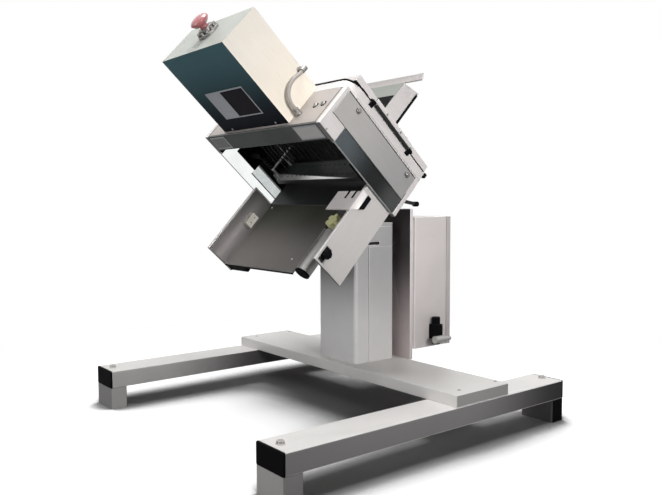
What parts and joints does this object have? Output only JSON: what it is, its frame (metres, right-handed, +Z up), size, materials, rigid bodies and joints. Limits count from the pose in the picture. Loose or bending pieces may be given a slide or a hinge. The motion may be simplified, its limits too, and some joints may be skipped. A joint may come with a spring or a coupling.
{
  "type": "needle meat injector",
  "caption": "Floor-standing meat injector: an H-shaped stand and column carry a tilting head that drives needles down on to a sloping bed and outlet tray.",
  "frame": {"origin": "middle of the stand's footprint, on the floor", "axes": "+Z up, -Y to the outlet tray at the front, +X to the right of someone facing the back"},
  "size_m": [0.733, 0.686, 0.7958],
  "materials": {
    "light_paint": "satin powder coat",
    "satin_steel": "satin stainless",
    "dark_steel": "polished stainless in shade",
    "housing_steel": "fine-ground stainless sheet",
    "bright_steel": "ground and polished",
    "anodised": "clear anodised",
    "black_plastic": "moulded",
    "black_rubber": "matt",
    "clear_panel": "clear polycarbonate",
    "red_plastic": "gloss moulded",
    "yellow_plastic": "moulded",
    "white_plastic": "machined",
    "bronze": "sintered",
    "grey_hose": "matt"
  },
  "bodies": {
    "stand": {"left_rail": "light_paint", "right_rail": "light_paint", "rail_end_caps": "black_plastic", "foot_blocks": "light_paint", "foot_bolts": "satin_steel", "crossbar": "light_paint", "column": "light_paint", "column_duct_cover": "light_paint", "column_head": "light_paint", "pivot_pin": "bright_steel", "rear_plate": "satin_steel", "control_box": "light_paint", "valve_manifold": "anodised", "air_regulator": "black_plastic", "air_coupler": "bright_steel"},
    "tilt_lever": {"tilt_lever": "black_plastic"},
    "box_lid": {"control_box_lid": "light_paint"},
    "lid_lock": {"lid_lock": "black_plastic"},
    "regulator_knob": {"regulator_knob": "black_plastic"},
    "head": {"head_base": "satin_steel", "pivot_bushes": "bronze", "bed_plate": "satin_steel", "left_side_frame": "satin_steel", "right_side_frame": "satin_steel", "rear_arch": "satin_steel", "side_panels": "satin_steel", "side_thumbscrews": "satin_steel", "side_windows": "clear_panel", "left_tray_cheek": "satin_steel", "right_tray_cheek": "satin_steel", "deck": "satin_steel", "front_bezel": "dark_steel", "rear_gasket": "black_rubber", "door_hinge_pin": "black_plastic", "drive_housing": "housing_steel", "cylinder_barrel": "anodised", "cylinder_caps": "dark_steel", "guide_bushes": "bronze", "air_hose": "grey_hose", "hose_fittings": "bright_steel", "estop_base": "black_plastic", "hold_down_posts": "black_plastic", "hold_down_springs": "bright_steel"},
    "rear_door": {"rear_door": "satin_steel", "infeed_chute": "satin_steel"},
    "door_latch": {"door_latch": "black_plastic"},
    "estop_button": {"estop_button": "red_plastic"},
    "needle_carriage": {"piston_rod": "bright_steel", "needle_manifold": "dark_steel", "needles": "bright_steel", "guide_rods": "bright_steel"},
    "stripper": {"stripper_plate": "bright_steel"},
    "tray": {"outlet_tray": "satin_steel", "tray_frame": "dark_steel", "guide_rail": "anodised", "rubber_pads": "black_rubber", "tray_guide_block": "white_plastic"},
    "rail_clamp_knob": {"rail_clamp_knob": "yellow_plastic"},
    "tray_lock_knob": {"tray_lock_knob": "black_plastic"},
    "notched_bracket": {"notched_bracket": "satin_steel"}
  },
  "joints": [
    {"name": "head_tilt", "type": "hinge", "parent": "stand", "child": "head", "pos_m": [0, 0.107, 0.455], "axis": [1, 0, 0], "range_deg": [-30, 5]},
    {"name": "tilt_lever_swing", "type": "hinge", "parent": "stand", "child": "tilt_lever", "pos_m": [0, 0.107, 0.455], "axis": [1, 0, 0], "range_deg": [0, 30]},
    {"name": "box_lid_swing", "type": "hinge", "parent": "stand", "child": "box_lid", "pos_m": [-0.1155, 0.271, 0.27], "axis": [0, 0, 1], "range_deg": [0, 110]},
    {"name": "lid_lock_turn", "type": "hinge", "parent": "box_lid", "child": "lid_lock", "pos_m": [0.087, 0.283, 0.2695], "axis": [0, 1, 0], "range_deg": [0, 90]},
    {"name": "regulator_turn", "type": "hinge", "parent": "stand", "child": "regulator_knob", "pos_m": [0.121, 0.226, 0.186], "axis": [0, 0, 1], "range_deg": [-135, 135]},
    {"name": "rear_door_swing", "type": "hinge", "parent": "head", "child": "rear_door", "pos_m": [0.21, 0.01259, 0.58543], "axis": [0, 0.7314, -0.682], "range_deg": [0, 100]},
    {"name": "door_latch_turn", "type": "hinge", "parent": "rear_door", "child": "door_latch", "pos_m": [-0.188, 0.02408, 0.60069], "axis": [0, 0.682, 0.7314], "range_deg": [0, 90]},
    {"name": "estop_push", "type": "slide", "parent": "head", "child": "estop_button", "axis": [0, 0.7314, -0.682], "range_m": [0, 0.005], "stiffness_N_per_m": 2000, "springref_m": -0.003},
    {"name": "needle_stroke", "type": "slide", "parent": "head", "child": "needle_carriage", "axis": [0, 0.7314, -0.682], "range_m": [0, 0.085]},
    {"name": "stripper_lift", "type": "slide", "parent": "head", "child": "stripper", "axis": [0, -0.7314, 0.682], "range_m": [0, 0.015], "stiffness_N_per_m": 900, "springref_m": -0.006, "deforming": ["hold_down_springs"]},
    {"name": "tray_slide", "type": "slide", "parent": "head", "child": "tray", "axis": [0, -0.682, -0.7314], "range_m": [0, 0.011]},
    {"name": "rail_clamp_turn", "type": "hinge", "parent": "tray", "child": "rail_clamp_knob", "pos_m": [0.101, -0.04129, 0.40595], "axis": [0, -0.7314, 0.682], "range_deg": [0, 180]},
    {"name": "tray_lock_turn", "type": "hinge", "parent": "tray", "child": "tray_lock_knob", "pos_m": [0.2, -0.13457, 0.35211], "axis": [1, 0, 0], "range_deg": [0, 180]},
    {"name": "bracket_slide", "type": "slide", "parent": "head", "child": "notched_bracket", "axis": [0, 0.682, 0.7314], "range_m": [-0.011, 0.011]}
  ]
}
